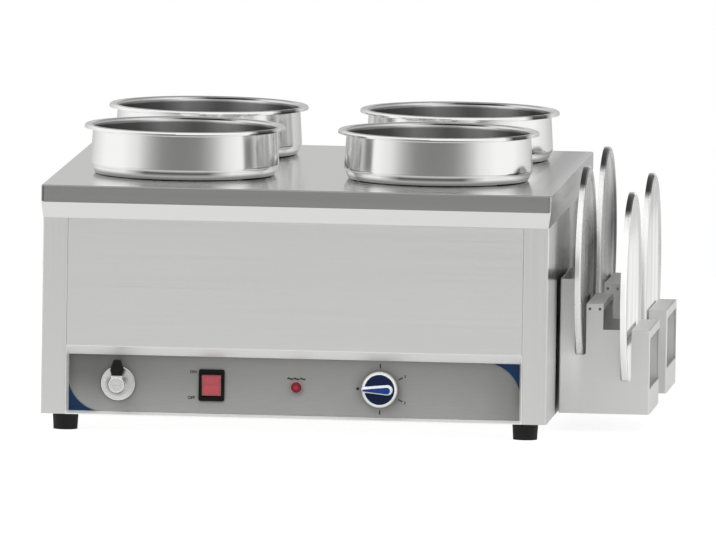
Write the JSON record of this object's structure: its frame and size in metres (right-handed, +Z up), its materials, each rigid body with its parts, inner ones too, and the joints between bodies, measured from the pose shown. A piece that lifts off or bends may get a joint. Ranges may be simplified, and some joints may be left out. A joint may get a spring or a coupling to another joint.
{
  "type": "sauce bain marie",
  "caption": "Countertop wet-well sauce warmer: brushed steel cabinet with round lift-out pots in its deck, a recessed control panel, a drain lever and a side rack that holds the lids on edge.",
  "frame": {"origin": "middle of the whole object's footprint, cabinet and lid rack together, at counter level", "axes": "+X to the right as seen from the controls, +Y from the controls to the back, +Z up"},
  "size_m": [0.5996, 0.56, 0.294],
  "materials": {
    "cabinet_steel": "brushed",
    "pot_steel": "spun and polished",
    "lid_steel": "pressed and polished",
    "panel_plate": "satin",
    "panel_film": "satin printed film",
    "accent_blue": "printed film",
    "foot_rubber": "matt",
    "hardware_steel": "zinc plated",
    "heater_sheath": "oxidised sheath",
    "ceramic_white": "glazed",
    "cutout_black": "moulded",
    "capillary_copper": "drawn copper",
    "valve_brass": "turned",
    "polished_metal": "polished",
    "grip_black": "moulded",
    "switch_black": "moulded",
    "rocker_red": "translucent moulded",
    "blade_metal": "tinned",
    "lamp_white": "moulded",
    "lens_red": "clear red",
    "thermostat_case": "plated case",
    "knob_ring": "bright ring",
    "knob_blue": "moulded",
    "block_plastic": "moulded",
    "gland_grey": "moulded"
  },
  "bodies": {
    "cabinet": {"top_deck": "cabinet_steel", "left_side_panel": "cabinet_steel", "right_side_panel": "cabinet_steel", "front_panel": "cabinet_steel", "rear_panel": "cabinet_steel", "panel_surround": "cabinet_steel", "base_plate": "cabinet_steel", "water_tank": "cabinet_steel", "rack_bracket_front": "cabinet_steel", "rack_bracket_rear": "cabinet_steel", "rack_tab_straps": "cabinet_steel", "rack_end_straps": "cabinet_steel", "control_panel": "panel_plate", "fascia_film": "panel_film", "corner_accents": "accent_blue", "feet": "foot_rubber", "foot_screws": "hardware_steel", "foot_nuts": "hardware_steel", "clamp_studs": "hardware_steel", "clamp_nuts": "hardware_steel", "heater_clamps": "hardware_steel", "bulb_clip": "hardware_steel", "rack_spacers": "hardware_steel", "rack_screws": "hardware_steel", "rack_nuts": "hardware_steel", "thermostat_nut": "hardware_steel", "heating_element": "heater_sheath", "heater_terminals": "ceramic_white", "safety_cutout": "cutout_black", "capillary_sensor": "capillary_copper", "drain_valve_body": "valve_brass", "drain_pipe": "valve_brass", "drain_spout": "valve_brass", "drain_rosette": "polished_metal", "switch_housing": "switch_black", "switch_terminals": "blade_metal", "lamp_body": "lamp_white", "lamp_lens": "lens_red", "thermostat_body": "thermostat_case", "terminal_block": "block_plastic", "cable_gland": "gland_grey", "gland_nut": "gland_grey"},
    "drain_handle": {"drain_ball": "polished_metal", "drain_stem": "polished_metal", "drain_lever": "polished_metal", "drain_lever_screw": "polished_metal", "drain_lever_grip": "grip_black"},
    "rocker": {"switch_rocker": "rocker_red"},
    "knob": {"thermostat_shaft": "hardware_steel", "knob_skirt": "knob_ring", "knob_cap": "knob_blue"},
    "pot_front_left_body": {"pot_front_left": "pot_steel"},
    "pot_front_right_body": {"pot_front_right": "pot_steel"},
    "pot_rear_left_body": {"pot_rear_left": "pot_steel"},
    "pot_rear_right_body": {"pot_rear_right": "pot_steel"},
    "lid_front_inner_body": {"lid_front_inner": "lid_steel"},
    "lid_front_outer_body": {"lid_front_outer": "lid_steel"},
    "lid_rear_inner_body": {"lid_rear_inner": "lid_steel"},
    "lid_rear_outer_body": {"lid_rear_outer": "lid_steel"}
  },
  "joints": [
    {"name": "thermostat_turn", "type": "hinge", "parent": "cabinet", "child": "knob", "pos_m": [0.03975, -0.2592, 0.04815], "axis": [0, 1, 0], "range_deg": [0, 270]},
    {"name": "drain_turn", "type": "hinge", "parent": "cabinet", "child": "drain_handle", "pos_m": [-0.22125, -0.2592, 0.04815], "axis": [0, 1, 0], "range_deg": [0, 90]},
    {"name": "rocker_tip", "type": "hinge", "parent": "cabinet", "child": "rocker", "pos_m": [-0.12805, -0.2562, 0.04815], "axis": [-1, 0, 0], "range_deg": [0, 20]},
    {"name": "pot_front_left_lift", "type": "slide", "parent": "cabinet", "child": "pot_front_left_body", "axis": [0, 0, 1], "range_m": [0, 0.2]},
    {"name": "pot_front_right_lift", "type": "slide", "parent": "cabinet", "child": "pot_front_right_body", "axis": [0, 0, 1], "range_m": [0, 0.2]},
    {"name": "pot_rear_left_lift", "type": "slide", "parent": "cabinet", "child": "pot_rear_left_body", "axis": [0, 0, 1], "range_m": [0, 0.2]},
    {"name": "pot_rear_right_lift", "type": "slide", "parent": "cabinet", "child": "pot_rear_right_body", "axis": [0, 0, 1], "range_m": [0, 0.2]},
    {"name": "lid_front_inner_lift", "type": "slide", "parent": "cabinet", "child": "lid_front_inner_body", "axis": [0, 0, 1], "range_m": [0, 0.12]},
    {"name": "lid_front_outer_lift", "type": "slide", "parent": "cabinet", "child": "lid_front_outer_body", "axis": [0, 0, 1], "range_m": [0, 0.12]},
    {"name": "lid_rear_inner_lift", "type": "slide", "parent": "cabinet", "child": "lid_rear_inner_body", "axis": [0, 0, 1], "range_m": [0, 0.12]},
    {"name": "lid_rear_outer_lift", "type": "slide", "parent": "cabinet", "child": "lid_rear_outer_body", "axis": [0, 0, 1], "range_m": [0, 0.12]}
  ]
}
